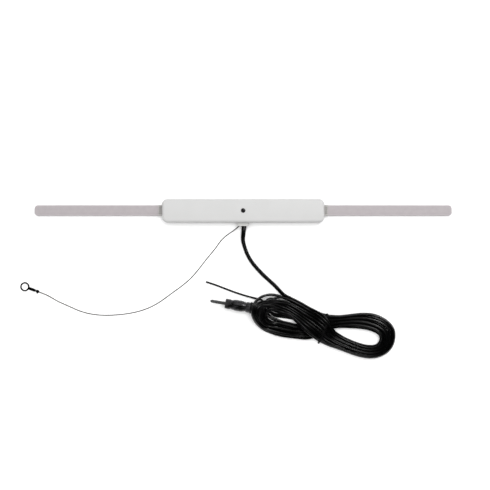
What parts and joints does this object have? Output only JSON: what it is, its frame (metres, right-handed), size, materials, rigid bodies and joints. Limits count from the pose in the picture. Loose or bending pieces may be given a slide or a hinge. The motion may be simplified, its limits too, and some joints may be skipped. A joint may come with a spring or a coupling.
{
  "type": "stick-on dipole antenna",
  "caption": "Slim amplified dipole antenna: flat housing with a flexible strip out of each end, a coax lead with an antenna plug, a power wire and a ground wire.",
  "frame": {"origin": "on the adhesive back, under the middle of the housing", "axes": "+X along the dipole, +Z out of the front cover, leads leave on the -Y side"},
  "size_m": [0.4307, 0.1586, 0.0138],
  "materials": {
    "housing_plastic": "light grey, fine matte texture",
    "grommet_plastic": "light grey, soft",
    "neck_rubber": "mid grey, matte, flexible",
    "strip_plastic": "warm grey, satin",
    "foam_tape": "pale closed-cell foam with adhesive",
    "conductor_copper": "copper wire",
    "tinned_copper": "tinned wire",
    "board_laminate": "green solder resist",
    "steel_screw": "zinc plated",
    "lens_dark": "dark smoked",
    "led_red": "tinted clear",
    "transistor_black": "moulded epoxy",
    "capacitor_sleeve": "shrink sleeve",
    "ceramic_tan": "dipped",
    "resistor_beige": "lacquered, colour bands",
    "ferrite": "sintered, dull",
    "winding_enamel": "enamelled copper",
    "solder": "bright solder",
    "cable_jacket": "black PVC, satin",
    "wire_jacket": "black PVC, satin",
    "ground_strand": "bare twisted tinned strand",
    "tie_plastic": "black twist tie",
    "terminal_metal": "dull plated",
    "plug_metal": "nickel plated",
    "plug_plastic": "black moulded",
    "boot_rubber": "black soft PVC"
  },
  "bodies": {
    "housing": {"front_cover": "housing_plastic", "rear_cover": "housing_plastic", "cover_screws": "steel_screw", "housing_tape": "foam_tape", "led_lens": "lens_dark", "cable_grommet": "grommet_plastic", "coax_tail": "cable_jacket", "power_tail": "wire_jacket", "ground_tail": "ground_strand", "power_led": "led_red", "led_leads": "tinned_copper", "transistors": "transistor_black", "transistor_leads": "tinned_copper", "electrolytic_capacitors": "capacitor_sleeve", "ceramic_capacitors": "ceramic_tan", "capacitor_leads": "tinned_copper", "resistors": "resistor_beige", "resistor_leads": "tinned_copper", "choke_core": "ferrite", "choke_winding": "winding_enamel", "circuit_board": "board_laminate", "board_screws": "steel_screw", "stripped_wire_ends": "tinned_copper", "solder_joints": "solder", "coax_cable": "cable_jacket", "cable_hank": "cable_jacket", "power_wire": "wire_jacket", "power_wire_end": "wire_jacket", "ground_wire": "ground_strand", "twist_tie": "tie_plastic", "ring_terminal": "terminal_metal", "plug_pin": "plug_metal", "plug_insulator": "plug_plastic", "plug_shell": "plug_metal", "plug_barrel": "plug_plastic", "plug_boot": "boot_rubber", "coax_plug_end": "cable_jacket", "left_neck": "neck_rubber", "left_lead": "tinned_copper", "right_neck": "neck_rubber", "right_lead": "tinned_copper"},
    "left_element": {"left_element_sleeve": "strip_plastic", "left_element_conductor": "conductor_copper", "left_element_tape": "foam_tape"},
    "right_element": {"right_element_sleeve": "strip_plastic", "right_element_conductor": "conductor_copper", "right_element_tape": "foam_tape"}
  },
  "joints": [
    {"name": "left_element_flex", "type": "hinge", "parent": "housing", "child": "left_element", "pos_m": [-0.08255, 0.0007, 0.0025], "axis": [0, 1, 0], "range_deg": [-20, 35], "stiffness_Nm_per_rad": 0.15, "deforming": ["left_neck", "left_lead"]},
    {"name": "right_element_flex", "type": "hinge", "parent": "housing", "child": "right_element", "pos_m": [0.08255, 0.0007, 0.0025], "axis": [0, -1, 0], "range_deg": [-20, 35], "stiffness_Nm_per_rad": 0.15, "deforming": ["right_neck", "right_lead"]}
  ]
}
